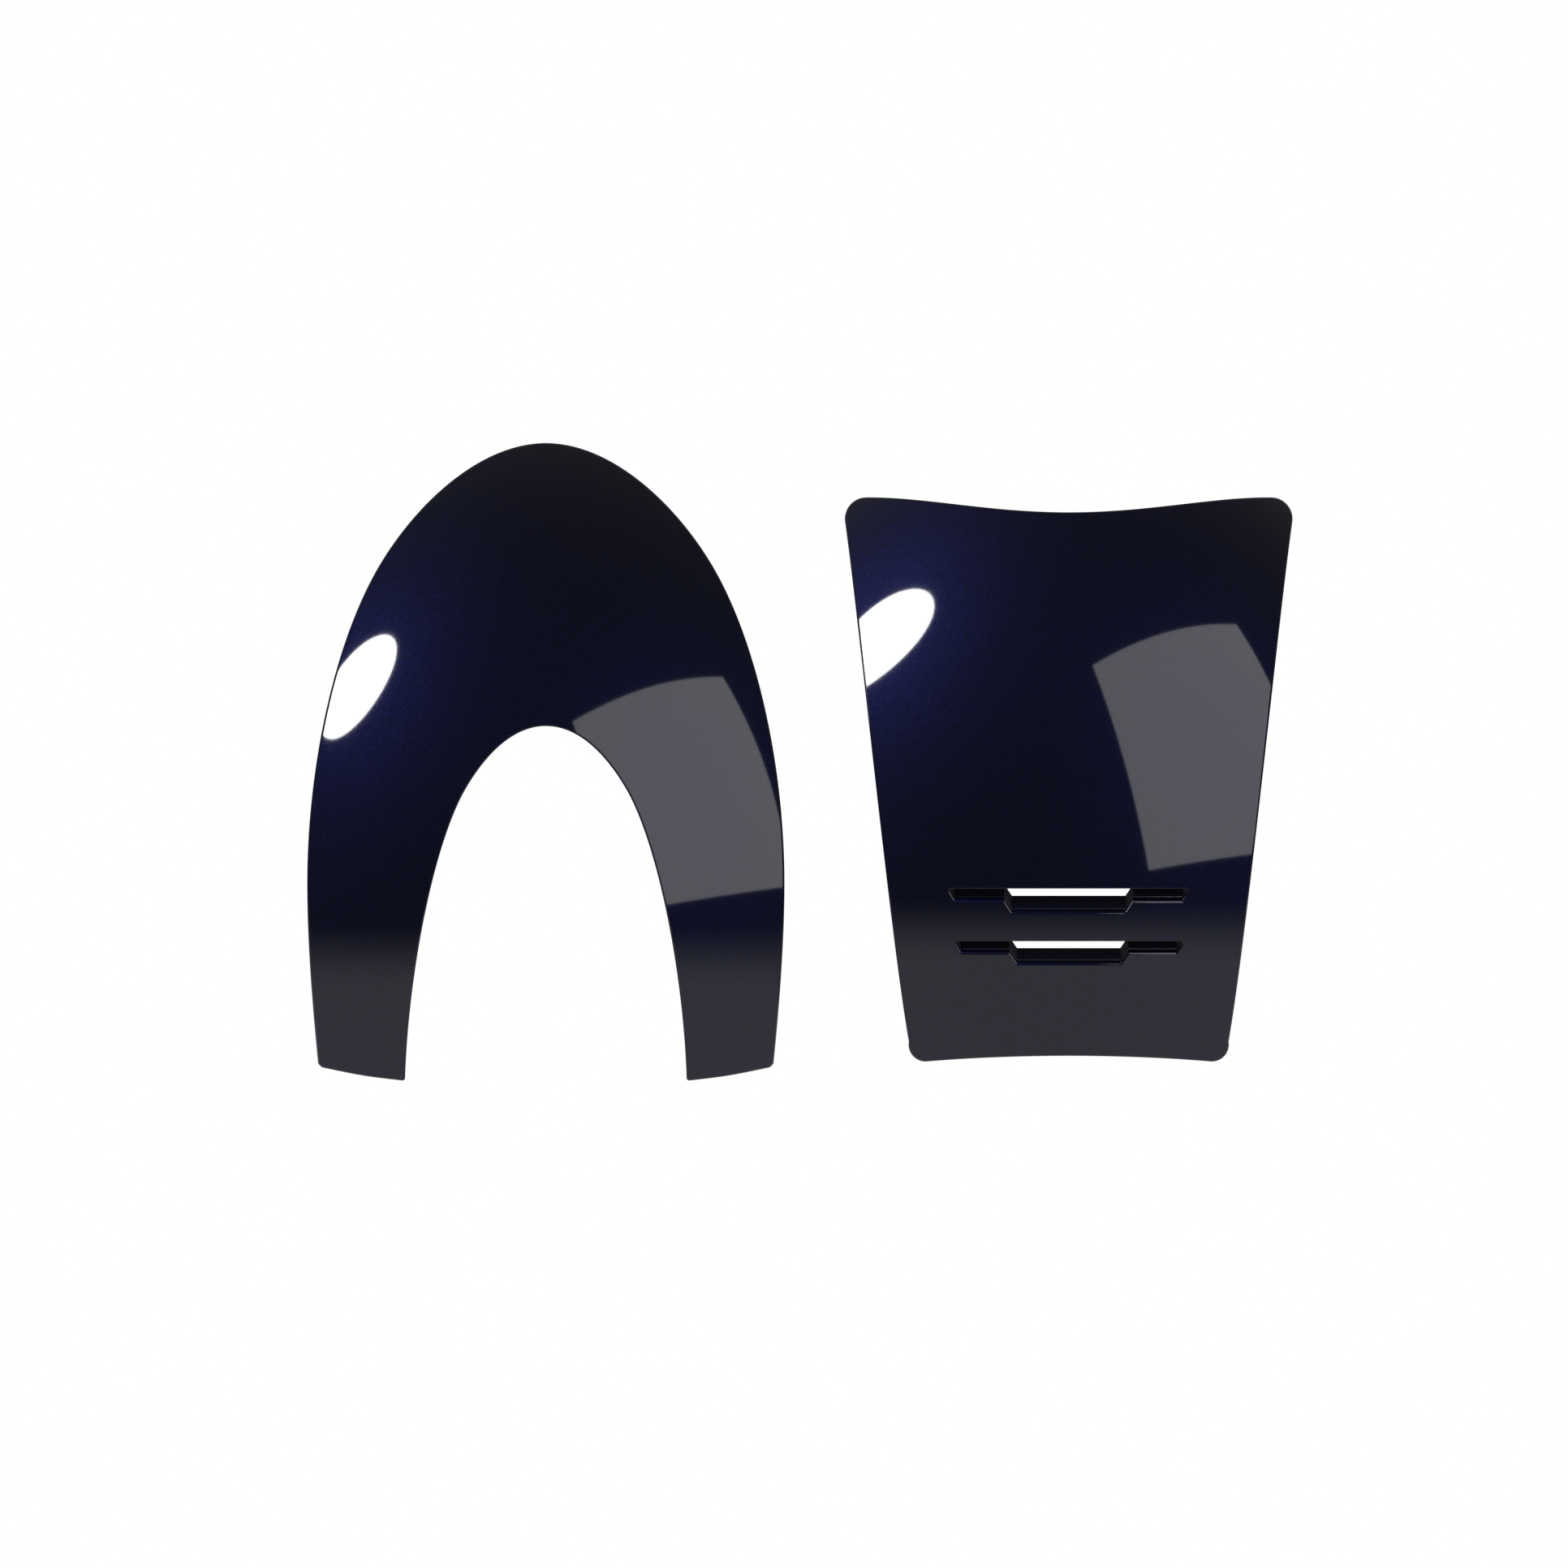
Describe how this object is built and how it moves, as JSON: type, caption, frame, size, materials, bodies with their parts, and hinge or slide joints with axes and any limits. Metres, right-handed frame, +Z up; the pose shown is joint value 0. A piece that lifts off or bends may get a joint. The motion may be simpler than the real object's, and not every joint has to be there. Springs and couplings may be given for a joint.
{
  "type": "protective guard shells",
  "caption": "Pair of glossy dark blue guard shells, an open arch and a tapered louvred shield, each a push-on painted cover over a bolted black carrier.",
  "frame": {"origin": "middle of the pair's overall width and depth, at the level of the arch's feet", "axes": "+X runs to the right across the pair, from the arch to the shield; the painted faces look along -Y; +Z up"},
  "size_m": [0.5466, 0.1749, 0.3538],
  "materials": {
    "paint_blue": "midnight blue metallic flake paint under clear lacquer",
    "louvre_dark": "near-black blue gloss, painted",
    "carrier_black": "fine spark-eroded texture, glass-filled nylon",
    "zinc_steel": "bright zinc plate",
    "brass": "turned and knurled",
    "grommet_rubber": "matt moulded",
    "seal_rubber": "extruded, satin",
    "bumper_rubber": "matt moulded",
    "foam": "closed-cell foam, fine grain"
  },
  "bodies": {
    "arch_base": {"arch_carrier": "carrier_black", "arch_grommets": "grommet_rubber", "arch_inserts": "brass", "arch_outer_seal": "seal_rubber", "arch_opening_seal": "seal_rubber", "arch_foam_pads": "foam", "arch_left_bumper": "bumper_rubber", "arch_right_bumper": "bumper_rubber"},
    "arch_face": {"arch_cover": "paint_blue", "arch_studs": "zinc_steel"},
    "shield_base": {"shield_carrier": "carrier_black", "shield_grommets": "grommet_rubber", "shield_inserts": "brass", "shield_edge_seal": "seal_rubber", "vent_gasket": "foam", "shield_foam_pads": "foam", "shield_left_bumper": "bumper_rubber", "shield_right_bumper": "bumper_rubber"},
    "shield_face": {"shield_cover": "paint_blue", "upper_louvre": "louvre_dark", "lower_louvre": "louvre_dark", "shield_studs": "zinc_steel"}
  },
  "joints": [
    {"name": "arch_cover_pull", "type": "slide", "parent": "arch_base", "child": "arch_face", "axis": [0, -1, 0], "range_m": [0, 0.18]},
    {"name": "shield_apart", "type": "slide", "parent": "arch_base", "child": "shield_base", "axis": [1, 0, 0], "range_m": [0, 0.15]},
    {"name": "shield_cover_pull", "type": "slide", "parent": "shield_base", "child": "shield_face", "axis": [0, -1, 0], "range_m": [0, 0.18]}
  ]
}
